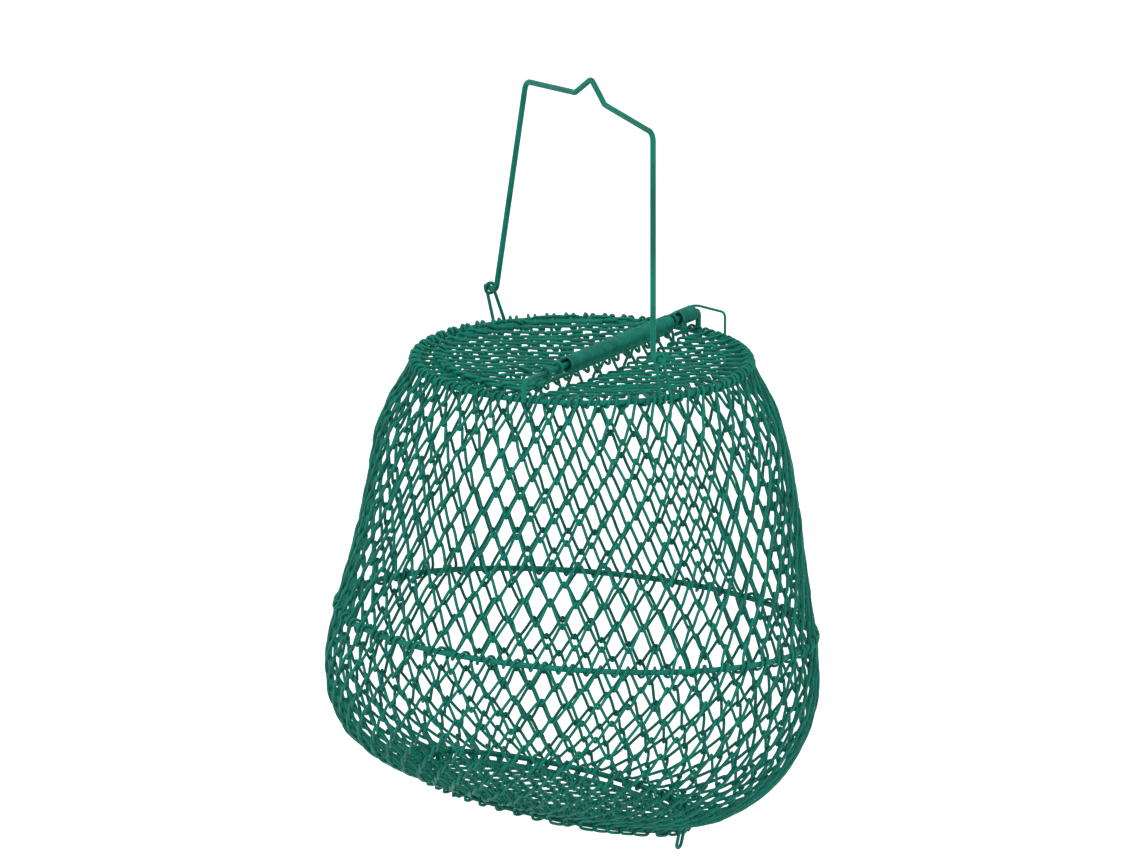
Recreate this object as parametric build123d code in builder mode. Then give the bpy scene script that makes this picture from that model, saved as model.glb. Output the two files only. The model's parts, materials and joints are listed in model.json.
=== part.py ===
"""Collapsible wire basket: three sprung-steel hoops joined by knitted wire mesh, hung by a bail.

Millimetres, +Z up. The origin is the hanging point: the inside of the hump in the bail. +X runs
along the bail, from one link to the other. Pieces are built about the basket's own upright axis and
moved beside the bail, which stands eye_offset from it, as they are written.
"""

import os
from math import atan2, cos, pi, radians, sin, sqrt
from typing import NamedTuple

from build123d import *

# ---- driving dimensions ---------------------------------------------------------------------

# wire
hoop_wire = 4.0  # coated wire of the three hoops, the bail and the lid's hinge bar
frame_wire = 3.0  # wire of the lid's and the door's frame
clip_wire = 2.4  # wire of the links, hinge eyes and latch
sleeve_length = 3.0  # straight eyes of the door and the latch
mesh_wire = 1.6  # knitted wire
spring_wire = 1.8  # the lid spring's own wire

# running clearances
pivot_clearance = 0.4  # round a wire that turns in an eye
seat_clearance = 0.3  # between a moving frame and what it closes on
weld_gap = 0.05  # between two wires that are held together
bend_slack = 0.3  # more side-step where two knitted rows cross

# hoops and their heights
top_hoop_radius = 115.5
mid_hoop_radius = 165.0
bottom_hoop_radius = 99.0
upper_height = 184.0  # top hoop to middle hoop
lower_height = 120.0  # middle hoop to the bottom hoop's center
top_tilt = 4.6  # the top and the bottom hoop hang askew in the soft net, degrees
top_tilt_toward = -76.0  # direction of its lowest place in plan, from +X
top_shift = 10.0  # and to one side of the axis
top_shift_toward = -90.0
bottom_tilt = 8.0
bottom_tilt_toward = 78.0
bottom_shift = 6.5
bottom_shift_toward = 240.0

# knitted mesh
mesh_loops = 54  # loops round one row
upper_rows = 13
lower_rows = 13
row_hook = 3.0  # how far the bends of two rows reach past each other
shoulder = (138.0, 45.0)  # the upper net's reach at a depth under the top hoop
flank = (148.0, 95.0)
waist = (156.8, 145.0)
bulge_radius = 169.0  # widest place of the lower net
bulge_drop = 40.0  # its depth under the middle hoop
hip_radius = 154.7  # where the lower net starts to turn under
hip_drop = 86.0
flat_pitch = 12.5  # row spacing of the lid's, the top's and the door's mesh

# bail
bail_height = 196.0  # top hoop's plane to the inside of the hump
eye_height = 26.5  # top hoop's plane to the bail's pivots
eye_reach = 120.0  # from the axis to each pivot, along X
eye_offset = 18.0  # from the basket's axis to the bail, towards -Y
bail_shoulder_reach = 90.0  # the bail's upper corners
bail_shoulder_drop = 19.0  # below the hump's inside
hump_dip_reach = 21.0
hump_dip_drop = 13.0
bail_end = 6.0  # how far the bail's end stands out of its link
pivot_bend = 5.0
shoulder_bend = 7.0
hump_bend = 5.0
link_half_width = 4.2  # at the hoop
link_foot_height = 2.0  # a leg turns upright so far above the hoop's middle
link_splay_angle = 50.0  # from the link's middle line to where a leg leaves the eye

# lid
hinge_angle = -60.0  # direction of the hinge bar in plan, from +X
hinge_height = 14.0  # above the top hoop's plane
hinge_offset = 24.0  # from the hoop's middle to the hinge bar
lid_radius = 99.0  # clears the upright bail as the lid opens
lid_chord = 9.0  # from the hinge bar to the lid's straight side
spring_outer = 11.4
spring_start = -108.0  # along the hinge bar
spring_end = 62.0
spring_gap_start = -88.0  # the coil is open here, round one of the lid's eyes
spring_gap = 12.0
lid_eye_stations = (-82.0, 72.0, 88.0)  # along the hinge bar
spring_arch_height = 18.5
spring_arch_reach = 5.4  # the leg leaves the coil's end by so much
spring_bend = 3.6  # inside radius of the spring wire's corners, at its middle line
spring_leg_reach = 22.5  # from the hinge bar to where the spring's leg reaches the lid's mesh
spring_foot_reach = 45.0  # and to its tip
spring_leg_splay = 9.0  # how far the tip bends aside
spring_arch_angle = 94.0  # where the spring's leg hooks on the hoop

# bottom door and latch
door_radius = 94.4
door_drop = 5.0  # door frame's plane under the bottom hoop's plane
door_place = 33  # the bend of the net between the hinge's two eyes, counted from +X
door_eye_spread = 4.0  # degrees each side
latch_place = 5  # the bend of the net between the latch's two eyes
latch_half_width = 3.4
latch_length = 17.0  # under the bottom hoop's plane
latch_bend = 3.2  # its two corners, at the wire's middle line
latch_leave_angle = 45.0  # where its legs leave the eyes, outside and below

# ---- derived sizes --------------------------------------------------------------------------

hoop_r = hoop_wire / 2
frame_r = frame_wire / 2
clip_r = clip_wire / 2
mesh_r = mesh_wire / 2

top_z = -bail_height
mid_z = top_z - upper_height
bottom_z = mid_z - lower_height

eye_radius = hoop_r + pivot_clearance + clip_r  # centreline of an eye round hoop wire
mesh_offset = (mesh_wire + seat_clearance) / 2 + bend_slack  # side-step of a bend, so that rows hook
loop_step = 360 / mesh_loops
door_hinge_angle = door_place * loop_step
latch_angle = latch_place * loop_step



class Hang(NamedTuple):
    """How a hoop hangs askew: its lowest place lies towards a direction, and its middle beside the axis."""

    tilt: float
    toward: float
    shift: Vector

    def move(self, point: Vector, share: float = 1) -> Vector:
        """Moves a point of a level ring by a share of the tilt and the shift."""
        turn = Axis((0, 0, 0), (-sin(radians(self.toward)), cos(radians(self.toward)), 0))
        level = Vector(point.X, point.Y, 0).rotate(turn, self.tilt * share)
        return level + Vector(0, 0, point.Z) + self.shift * share

    def plane(self, height: float) -> Plane:
        """The hoop's own plane, for a middle at this height."""
        ahead, side = self.move(Vector(1, 0, 0)) - self.shift, self.move(Vector(0, 1, 0)) - self.shift
        return Plane(origin=self.move(Vector(0, 0, height)), x_dir=ahead, z_dir=ahead.cross(side))


def beside(distance: float, toward: float) -> Vector:
    """A level step in a direction in plan."""
    return distance * Vector(cos(radians(toward)), sin(radians(toward)), 0)


top_hang = Hang(top_tilt, top_tilt_toward, beside(top_shift, top_shift_toward))
bottom_hang = Hang(bottom_tilt, bottom_tilt_toward, beside(bottom_shift, bottom_shift_toward))
top_plane = top_hang.plane(top_z)
bottom_plane = bottom_hang.plane(bottom_z)
hinge_plane = Plane(top_plane.location * Rotation(0, 0, hinge_angle))  # local +X along the hinge bar
bar_plane = Plane(hinge_plane.location * Location((0, hinge_offset, hinge_height)))  # on the bar's middle line

os.makedirs("parts", exist_ok=True)


def write(part: Part, name: str) -> None:
    """Moves one piece from the basket's axis to its place, labels it and writes its STEP file."""
    placed = part.moved(Location((0, eye_offset, 0)))
    placed.label = name
    export_step(placed, f"parts/{name}.step")


def on_circle(radius: float, angle: float, z: float) -> Vector:
    """Point at a radius and an angle about the basket's axis, or about a plane's own."""
    return Vector(radius * cos(radians(angle)), radius * sin(radians(angle)), z)


def hoop(radius: float, wire_radius: float, plane: Plane) -> None:
    """Adds a round hoop of wire that lies in a plane, about its origin."""
    start = plane.from_local_coords((radius, 0, 0))
    with BuildSketch(Plane(origin=start, x_dir=plane.x_dir, z_dir=plane.y_dir)) as section:
        Circle(wire_radius)
    revolve(section.sketch, axis=Axis(plane.origin, plane.z_dir))


def bent_wire(points: list, radius: float, bend: float | list) -> None:
    """Adds one bent wire through the points, its corners rounded by one radius or by one each."""
    with BuildLine() as route:
        FilletPolyline(*points, radius=bend)
    with BuildSketch(Plane(origin=route.line @ 0, z_dir=route.line % 0)) as section:
        Circle(radius)
    sweep(section.sketch, path=route.line)


def zigzag(points: list, closed: bool) -> None:
    """Adds one knitted wire: straight runs between sharp bends. A closed one is swept in two halves."""
    runs = [points]
    if closed:
        half = len(points) // 2
        start, middle = (points[-1] + points[0]) / 2, (points[half - 1] + points[half]) / 2
        runs = [[start] + points[:half] + [middle], [middle] + points[half:] + [start]]
    for run in runs:
        with BuildLine() as route:
            Polyline(*run)
        with BuildSketch(Plane(origin=run[0], z_dir=run[1] - run[0])) as section:
            Circle(mesh_r)
        sweep(section.sketch, path=route.line, transition=Transition.RIGHT)


def eye(center: Vector, axis: Vector, radius: float, wire_radius: float) -> None:
    """Adds a closed round eye of wire about an axis."""
    across = Plane(origin=center, z_dir=axis)
    with BuildSketch(Plane(origin=center, x_dir=across.x_dir, z_dir=across.y_dir)) as section:
        with Locations((radius, 0)):
            Circle(wire_radius)
    revolve(section.sketch, axis=Axis(center, axis))


def sleeve(center: Vector, axis: Vector) -> None:
    """Adds a straight eye, one wire thick, that turns on a hoop."""
    start = center - axis.normalized() * sleeve_length / 2
    with BuildSketch(Plane(origin=start, z_dir=axis)) as ring:
        Circle(eye_radius + clip_r)
        Circle(eye_radius - clip_r, mode=Mode.SUBTRACT)
    extrude(ring.sketch, amount=sleeve_length)


def rod(start: Vector, end: Vector, radius: float) -> None:
    """Adds one straight wire."""
    with BuildSketch(Plane(origin=start, z_dir=end - start)) as section:
        Circle(radius)
    extrude(section.sketch, amount=(end - start).length)


# ---- bail and its links ---------------------------------------------------------------------

pivot_z = top_z + eye_height
hump_slope = atan2(hump_dip_drop, hump_dip_reach)
hump_top = hoop_r + hump_bend * (1 / cos(hump_slope) - 1)  # so that the rounded inside is at zero
leg_foot = eye_reach - clip_r - seat_clearance - hoop_r - pivot_bend

with BuildPart() as bail_handle:
    near_half = [
        Vector(eye_reach + bail_end, -eye_offset, pivot_z),
        Vector(leg_foot, -eye_offset, pivot_z),
        Vector(bail_shoulder_reach, -eye_offset, hoop_r - bail_shoulder_drop),
        Vector(hump_dip_reach, -eye_offset, hoop_r - hump_dip_drop),
    ]
    far_half = [Vector(-point.X, point.Y, point.Z) for point in reversed(near_half)]
    bends = [pivot_bend, shoulder_bend, hump_bend]
    route = near_half + [Vector(0, -eye_offset, hump_top)] + far_half
    bent_wire(route, hoop_r, bends + [hump_bend] + bends[::-1])
write(bail_handle.part, "bail_handle")


hook_radius = hoop_r + clip_r + weld_gap  # a link's ends curl round the top hoop
link_lean = atan2(eye_offset - top_shift, eye_height)
for side, name in ((1, "bail_link_near"), (-1, "bail_link_far")):
    pivot = Vector(side * eye_reach, -eye_offset, pivot_z)
    with BuildPart() as bail_link:
        eye(pivot, Vector(1, 0, 0), eye_radius, clip_r)
        for leg in (-1, 1):
            turn = link_lean + leg * radians(link_splay_angle)
            leave = pivot + Vector(0, eye_radius * sin(turn), -eye_radius * cos(turn))
            curl = ((hook_radius, link_foot_height), (hook_radius, -hook_radius), (0, -hook_radius))
            foot, under, tip = (
                top_plane.from_local_coords((side * (top_hoop_radius + out), leg * link_half_width, up))
                for out, up in curl
            )
            bent_wire([leave, foot, under, tip], clip_r, [link_foot_height, hook_radius - weld_gap])
    write(bail_link.part, name)

# ---- top hoop, hinge bar and lid spring -----------------------------------------------------

with BuildPart() as top_hoop:
    hoop(top_hoop_radius, hoop_r, top_plane)
write(top_hoop.part, "top_hoop")

with BuildPart() as middle_hoop:
    hoop(mid_hoop_radius, hoop_r, Plane(origin=(0, 0, mid_z)))
write(middle_hoop.part, "middle_hoop")

with BuildPart() as bottom_hoop:
    hoop(bottom_hoop_radius, hoop_r, bottom_plane)
write(bottom_hoop.part, "bottom_hoop")

bar_reach = sqrt((top_hoop_radius + 2 * hoop_r + weld_gap) ** 2 - hinge_offset**2)
with BuildPart() as hinge_bar:
    bar_points = [
        bar_plane.from_local_coords((x, 0, z))
        for x, z in ((-bar_reach, -hinge_height), (-bar_reach, 0), (bar_reach, 0), (bar_reach, -hinge_height))
    ]
    bent_wire(bar_points, hoop_r, hoop_wire)
write(hinge_bar.part, "hinge_bar")

coil_top = spring_outer / 2 - spring_wire / 2
bridge_height = eye_radius + clip_r + seat_clearance + spring_wire / 2
arch_end = top_hoop_radius + hoop_r + spring_wire / 2 + weld_gap
gap_end = spring_gap_start + spring_gap
with BuildPart() as lid_spring:
    for coil_start, coil_end in ((spring_start, spring_gap_start), (gap_end, spring_end)):
        origin = bar_plane.from_local_coords((coil_start, 0, 0))
        with BuildSketch(Plane(origin=origin, z_dir=hinge_plane.x_dir)) as coil:
            Circle(spring_outer / 2)
            Circle(spring_outer / 2 - spring_wire, mode=Mode.SUBTRACT)
        extrude(coil.sketch, amount=coil_end - coil_start)
    bridge_start = bar_plane.from_local_coords((spring_gap_start - spring_wire, 0, bridge_height))
    with BuildSketch(Plane(origin=bridge_start, z_dir=hinge_plane.x_dir)) as bridge:
        Circle(spring_wire / 2)
    extrude(bridge.sketch, amount=spring_gap + 2 * spring_wire)
    arch = [
        bar_plane.from_local_coords((spring_start + spring_wire, 0, coil_top)),
        bar_plane.from_local_coords((spring_start - spring_arch_reach, 0, spring_arch_height - hinge_height)),
        top_plane.from_local_coords(on_circle(arch_end, spring_arch_angle, spring_arch_height)),
        top_plane.from_local_coords(on_circle(arch_end, spring_arch_angle, 0)),
    ]
    bent_wire(arch, spring_wire / 2, spring_bend)
write(lid_spring.part, "lid_spring")

# ---- knitted wire -------------------------------------------------------------------------


def bend_reach(span: float, half_loop: float) -> float:
    """How far the sharp tip of a bend stands past the wire's centreline."""
    return mesh_r / sin(atan2(half_loop, span))


def net_row(profile: Edge, ends: tuple, steps: tuple, hang: Hang, leans: tuple, phase: float) -> None:
    """Adds one row between two lengths along the profile.

    steps move its upper and lower bends outwards; leans are their shares of the way that a hoop hangs.
    """
    points = []
    for bend in range(2 * mesh_loops):
        station = ends[bend % 2] / profile.length
        along = profile % station
        outward = Vector(-along.Z, 0, along.X) * steps[bend % 2]
        level = (profile @ station + outward).rotate(Axis.Z, phase + bend * loop_step / 2)
        points.append(hang.move(level, leans[bend % 2]))
    zigzag(points, closed=True)


def knit(name: str, profile: Edge, rows: int, hang: Hang, from_top: bool) -> None:
    """Writes the rows of one net, hooked into each other down the profile.

    The hoop at its top or at its foot hangs askew, and the net levels out away from it.
    """
    pitch = profile.length / rows
    for row in range(rows):
        first, last = row == 0, row == rows - 1
        start = row * pitch - (0 if first else row_hook / 2)
        stop = (row + 1) * pitch + (0 if last else row_hook / 2)
        steps = (0 if first else -mesh_offset, 0 if last else mesh_offset)
        leans = tuple(((rows - border if from_top else border) / rows) ** 2 for border in (row, row + 1))
        with BuildPart() as net:
            net_row(profile, (start, stop), steps, hang, leans, (row + 1) * loop_step / 2)
        write(net.part, f"{name}_row_{row + 1:02d}")


def flat_net(plane: Plane, radius: float, first: float, side: int) -> None:
    """Adds a flat net inside a circle: rows along the plane's X, from first outwards to one side."""
    rows = int((radius - first) / flat_pitch)
    for row in range(rows):
        near, far = first + row * flat_pitch, first + (row + 1) * flat_pitch
        middle = (near + far) / 2
        reach = sqrt(radius**2 - middle**2)
        points = [(-reach, middle, 0)]
        count = int(radius / half_loop)
        for bend in range(-count, count + 1):
            outer = (bend + row) % 2
            across = far + row_hook / 2 if outer else near - row_hook / 2
            if abs(bend * half_loop) < min(reach - half_loop / 2, sqrt(max(radius**2 - across**2, 0))):
                points.append((bend * half_loop, across, mesh_offset if outer else -mesh_offset))
        points.append((reach, middle, 0))
        zigzag([plane.from_local_coords((x, side * y, z)) for x, y, z in points], closed=False)


row_span = upper_height / upper_rows
half_loop = pi * top_hoop_radius / mesh_loops
end_gap = hoop_r + seat_clearance + bend_reach(row_span, pi * mid_hoop_radius / mesh_loops)

with BuildLine() as upper_profile:
    Spline(
        (top_hoop_radius, 0, top_z - end_gap),
        (shoulder[0], 0, top_z - shoulder[1]),
        (flank[0], 0, top_z - flank[1]),
        (waist[0], 0, top_z - waist[1]),
        (mid_hoop_radius, 0, mid_z + end_gap),
    )
knit("upper_net", upper_profile.edge(), upper_rows, top_hang, from_top=True)

with BuildLine() as lower_profile:
    Spline(
        (mid_hoop_radius, 0, mid_z - end_gap),
        (bulge_radius, 0, mid_z - bulge_drop),
        (hip_radius, 0, mid_z - hip_drop),
        (bottom_hoop_radius + end_gap, 0, bottom_z),
        tangents=((0.2, 0, -1), (-1, 0, -0.1)),
    )
knit("lower_net", lower_profile.edge(), lower_rows, bottom_hang, from_top=False)

# ---- mesh round the mouth and over the fixed half of the top ---------------------------------

rim_outer = top_hoop_radius - hoop_r - seat_clearance - bend_reach(top_hoop_radius - lid_radius, half_loop)
with BuildPart() as rim_net:
    rim = [
        top_plane.from_local_coords(on_circle(lid_radius if bend % 2 else rim_outer, bend * loop_step / 2, 0))
        for bend in range(2 * mesh_loops)
    ]
    zigzag(rim, closed=True)
write(rim_net.part, "rim_net")

rim_inner = lid_radius - bend_reach(rim_outer - lid_radius, half_loop)
with BuildPart() as top_net:
    flat_net(hinge_plane, rim_inner - seat_clearance - mesh_r, hinge_offset + row_hook, 1)
write(top_net.part, "top_net")

# ---- lid ------------------------------------------------------------------------------------

lid_height = mesh_r + seat_clearance + frame_r  # the lid's frame rests on the rim's bends
lid_plane = hinge_plane.offset(lid_height)
chord_y = hinge_offset - lid_chord  # the lid's straight side
chord_reach = sqrt(lid_radius**2 - chord_y**2)
with BuildPart() as lid_frame:
    with BuildLine(lid_plane) as outline:
        Line((-chord_reach, chord_y), (chord_reach, chord_y))
        ThreePointArc((chord_reach, chord_y), (0, -lid_radius), (-chord_reach, chord_y))
        fillet(outline.vertices(), radius=frame_wire * 1.5)
    loop = outline.wires()[0]
    with BuildSketch(Plane(origin=loop @ 0, z_dir=loop % 0)) as section:
        Circle(frame_r)
    sweep(section.sketch, path=loop)
    for station in lid_eye_stations:
        center = bar_plane.from_local_coords((station, 0, 0))
        eye(center, bar_plane.x_dir, eye_radius, clip_r)
        leave = bar_plane.from_local_coords((station, -eye_radius, 0))
        rod(leave, hinge_plane.from_local_coords((station, chord_y, lid_height)), clip_r)
write(lid_frame.part, "lid_frame")

with BuildPart() as lid_net:
    inside = lid_radius - frame_r - seat_clearance - mesh_r
    flat_net(lid_plane, inside, frame_r + mesh_wire + row_hook / 2 - chord_y, -1)
write(lid_net.part, "lid_net")

with BuildPart() as spring_lid_leg:
    leg_station = spring_end + spring_wire / 2 + pivot_clearance
    leg_height = lid_height + mesh_offset + mesh_r + seat_clearance + spring_wire / 2 - hinge_height
    leg = [
        bar_plane.from_local_coords(point)
        for point in (
            (leg_station, -coil_top, 0),
            (leg_station, -spring_leg_reach, leg_height),
            (leg_station - spring_leg_splay, -spring_foot_reach, leg_height),
        )
    ]
    bent_wire(leg, spring_wire / 2, spring_bend)
write(spring_lid_leg.part, "spring_lid_leg")

# ---- bottom door and latch ------------------------------------------------------------------

with BuildPart() as door_frame:
    hoop(door_radius, frame_r, bottom_plane.offset(-door_drop))
    tangent = bottom_plane.from_local_coords(on_circle(1, door_hinge_angle + 90, 0)) - bottom_plane.origin
    for turn in (-door_eye_spread, door_eye_spread):
        center = bottom_plane.from_local_coords(on_circle(bottom_hoop_radius, door_hinge_angle + turn, 0))
        frame_point = on_circle(door_radius, door_hinge_angle + turn, -door_drop)
        arm = bottom_plane.from_local_coords(frame_point) - center
        sleeve(center, tangent)
        rod(center + arm * (eye_radius / arm.length), center + arm, clip_r)
write(door_frame.part, "door_frame")

door_plane = Plane(bottom_plane.location * Location((0, 0, -door_drop), (0, 0, door_hinge_angle)))
with BuildPart() as door_net:
    inside = door_radius - frame_r - seat_clearance - mesh_r
    flat_net(door_plane, inside, 0, 1)
    flat_net(door_plane, inside, 0, -1)
write(door_net.part, "door_net")

latch_plane = Plane(bottom_plane.location * Rotation(0, 0, latch_angle))  # local +X outwards, +Y along the hoop
with BuildPart() as latch_loop:
    reach = bottom_hoop_radius * cos(latch_half_width / bottom_hoop_radius)
    for side in (-1, 1):
        center = latch_plane.from_local_coords((reach, side * latch_half_width, 0))
        sleeve(center, latch_plane.y_dir)
    leave_x = reach + eye_radius * cos(radians(latch_leave_angle))
    leave_z = -eye_radius * sin(radians(latch_leave_angle))
    bow = [
        latch_plane.from_local_coords((leave_x, side * latch_half_width, z))
        for side, z in ((-1, leave_z), (-1, clip_r - latch_length), (1, clip_r - latch_length), (1, leave_z))
    ]
    bent_wire(bow, clip_r, latch_bend)
write(latch_loop.part, "latch_loop")
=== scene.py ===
"""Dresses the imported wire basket: knitted nets, coil spring, coated wire and a plain studio.

Metres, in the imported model's frame: +Z up, origin at the hanging point, +X along the bail.
"""

import json
import logging
import math
from dataclasses import dataclass
from enum import Enum

import bpy
import numpy as np
from mathutils import Matrix, Vector

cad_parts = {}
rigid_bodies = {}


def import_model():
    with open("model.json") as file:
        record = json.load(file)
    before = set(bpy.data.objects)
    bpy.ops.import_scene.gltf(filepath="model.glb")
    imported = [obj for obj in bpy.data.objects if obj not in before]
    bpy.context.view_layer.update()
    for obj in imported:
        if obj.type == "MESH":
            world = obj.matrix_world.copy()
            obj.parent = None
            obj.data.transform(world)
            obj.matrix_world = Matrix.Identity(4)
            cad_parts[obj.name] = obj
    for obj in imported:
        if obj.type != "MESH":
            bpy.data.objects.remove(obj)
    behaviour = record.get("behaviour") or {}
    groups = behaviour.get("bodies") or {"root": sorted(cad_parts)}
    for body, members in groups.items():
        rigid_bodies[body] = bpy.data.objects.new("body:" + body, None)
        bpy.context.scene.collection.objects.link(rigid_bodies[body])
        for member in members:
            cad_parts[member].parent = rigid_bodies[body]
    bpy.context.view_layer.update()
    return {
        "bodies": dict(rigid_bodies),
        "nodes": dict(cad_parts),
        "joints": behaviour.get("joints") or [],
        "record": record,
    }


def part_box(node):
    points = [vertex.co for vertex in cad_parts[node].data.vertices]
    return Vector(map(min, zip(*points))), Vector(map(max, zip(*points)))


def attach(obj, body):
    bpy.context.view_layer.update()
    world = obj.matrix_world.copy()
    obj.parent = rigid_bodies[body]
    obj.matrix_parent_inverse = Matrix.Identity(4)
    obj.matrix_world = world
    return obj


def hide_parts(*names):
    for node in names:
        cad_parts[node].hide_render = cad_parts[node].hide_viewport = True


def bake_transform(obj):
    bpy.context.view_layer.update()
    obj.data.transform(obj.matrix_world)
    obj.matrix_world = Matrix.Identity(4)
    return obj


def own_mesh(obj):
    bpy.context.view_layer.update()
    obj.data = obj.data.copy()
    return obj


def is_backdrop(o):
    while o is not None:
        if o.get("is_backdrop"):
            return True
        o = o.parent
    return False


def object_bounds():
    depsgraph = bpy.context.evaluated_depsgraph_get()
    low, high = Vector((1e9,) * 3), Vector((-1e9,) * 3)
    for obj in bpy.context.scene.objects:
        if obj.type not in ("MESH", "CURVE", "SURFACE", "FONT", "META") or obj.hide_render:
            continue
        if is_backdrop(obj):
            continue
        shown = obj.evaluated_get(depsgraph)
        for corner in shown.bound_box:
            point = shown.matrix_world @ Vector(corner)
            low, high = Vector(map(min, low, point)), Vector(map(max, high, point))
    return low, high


log = logging.getLogger("wire_basket")


def add_object(name: str, data: bpy.types.ID) -> bpy.types.Object:
    """Makes an object and puts it in the scene.

    Args:
        name: its name.
        data: its mesh, light or camera.

    Returns:
        The object.
    """
    made = bpy.data.objects.new(name, data)
    bpy.context.scene.collection.objects.link(made)
    return made


# ---- node trees written as expressions ----


class Signal:
    """A node's output socket that takes part in Python expressions on values."""

    def __init__(self, graph: "Graph", socket: bpy.types.NodeSocket) -> None:
        """Wraps one output socket of a graph."""
        self.graph = graph
        self.socket = socket

    def math(self, operation: str, *operands: "Signal | float") -> "Signal":
        """Adds a Math node.

        Args:
            operation: the Math node's operation.
            operands: values or signals for its sockets, in order.

        Returns:
            The node's result.
        """
        inputs = dict(enumerate(operands))
        return self.graph.take("ShaderNodeMath", {"operation": operation}, inputs)

    def __add__(self, other: "Signal | float") -> "Signal":
        """self + other."""
        return self.math("ADD", self, other)

    def __radd__(self, other: float) -> "Signal":
        """other + self."""
        return self.math("ADD", other, self)

    def __sub__(self, other: "Signal | float") -> "Signal":
        """self - other."""
        return self.math("SUBTRACT", self, other)

    def __rsub__(self, other: float) -> "Signal":
        """other - self."""
        return self.math("SUBTRACT", other, self)

    def __mul__(self, other: "Signal | float") -> "Signal":
        """self * other."""
        return self.math("MULTIPLY", self, other)

    def __rmul__(self, other: float) -> "Signal":
        """other * self."""
        return self.math("MULTIPLY", other, self)

    def __truediv__(self, other: "Signal | float") -> "Signal":
        """self / other."""
        return self.math("DIVIDE", self, other)

    def __rtruediv__(self, other: float) -> "Signal":
        """other / self."""
        return self.math("DIVIDE", other, self)

    def function(self, operation: str) -> "Signal":
        """A Math node of one operand, such as SINE or SQRT."""
        return self.math(operation, self)

    def ramp(self, start: "Signal | float", end: "Signal | float") -> "Signal":
        """A smooth step from 0 at start to 1 at end.

        Args:
            start: the value where the step begins.
            end: the value where it is complete.

        Returns:
            The step, from 0 to 1.
        """
        inputs = {"Value": self, "From Min": start, "From Max": end}
        return self.graph.take("ShaderNodeMapRange", {"interpolation_type": "SMOOTHSTEP"}, inputs)


class Graph:
    """A node tree under construction, for a finish or for a shape."""

    def __init__(self, tree: bpy.types.NodeTree) -> None:
        """Wraps a tree."""
        self.tree = tree

    @classmethod
    def of(cls, owner: bpy.types.Material | bpy.types.World) -> "Graph":
        """Starts the empty shader tree of a material or a world."""
        owner.use_nodes = True
        owner.node_tree.nodes.clear()
        return cls(owner.node_tree)

    def node(
        self, kind: str, settings: dict | None = None, inputs: dict | None = None
    ) -> bpy.types.Node:
        """Adds one node.

        Args:
            kind: the node's type name.
            settings: its properties, set first.
            inputs: values or signals by socket name or number.

        Returns:
            The node.
        """
        made = self.tree.nodes.new(kind)
        for name, value in (settings or {}).items():
            setattr(made, name, value)
        for name, value in (inputs or {}).items():
            if isinstance(value, Signal):
                self.tree.links.new(value.socket, made.inputs[name])
            else:
                made.inputs[name].default_value = value
        return made

    def take(
        self,
        kind: str,
        settings: dict | None = None,
        inputs: dict | None = None,
        output: int | str = 0,
    ) -> Signal:
        """Adds one node and takes one of its outputs.

        Args:
            kind: the node's type name.
            settings: its properties.
            inputs: values or signals by socket name or number.
            output: which output to take.

        Returns:
            That output.
        """
        return Signal(self, self.node(kind, settings, inputs).outputs[output])

    def blend(
        self, factor: Signal | float, first: Signal | float, second: Signal | float
    ) -> Signal:
        """Mixes two values by a factor."""
        inputs = {0: factor, 2: first, 3: second}
        return self.take("ShaderNodeMix", {"data_type": "FLOAT"}, inputs, 0)

    def tint(self, factor: Signal | float, first: Signal | tuple, second: Signal | tuple) -> Signal:
        """Mixes two colors by a factor."""
        inputs = {0: factor, 6: first, 7: second}
        return self.take("ShaderNodeMix", {"data_type": "RGBA"}, inputs, 2)

    def vector(self, operation: str, *operands: Signal | tuple | float, output: int = 0) -> Signal:
        """Adds a Vector Math node.

        Args:
            operation: the node's operation.
            operands: vectors for its sockets, in order; a scale goes last for SCALE.
            output: 0 for a vector result, 1 for a value.

        Returns:
            The node's result.
        """
        inputs = dict(zip((0, 3) if operation == "SCALE" else (0, 1, 2), operands))
        return self.take("ShaderNodeVectorMath", {"operation": operation}, inputs, output)

    def combine(self, x: Signal | float, y: Signal | float, z: Signal | float) -> Signal:
        """Makes a vector of three values."""
        return self.take("ShaderNodeCombineXYZ", None, {0: x, 1: y, 2: z})

    def separate(self, vector: Signal) -> tuple[Signal, Signal, Signal]:
        """Takes a vector's three values."""
        parts = self.node("ShaderNodeSeparateXYZ", None, {0: vector})
        return tuple(Signal(self, parts.outputs[i]) for i in range(3))

    def noise(self, place: Signal, scale: float, detail: float = 2.0, output: int = 0) -> Signal:
        """Adds a Noise Texture.

        Args:
            place: where it is read.
            scale: its features for each metre.
            detail: its octaves.
            output: 0 for a value, 1 for a color.

        Returns:
            The noise, about 0.5.
        """
        inputs = {"Vector": place, "Scale": scale, "Detail": detail}
        return self.take("ShaderNodeTexNoise", None, inputs, output)


# ---- finishes ----


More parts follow.
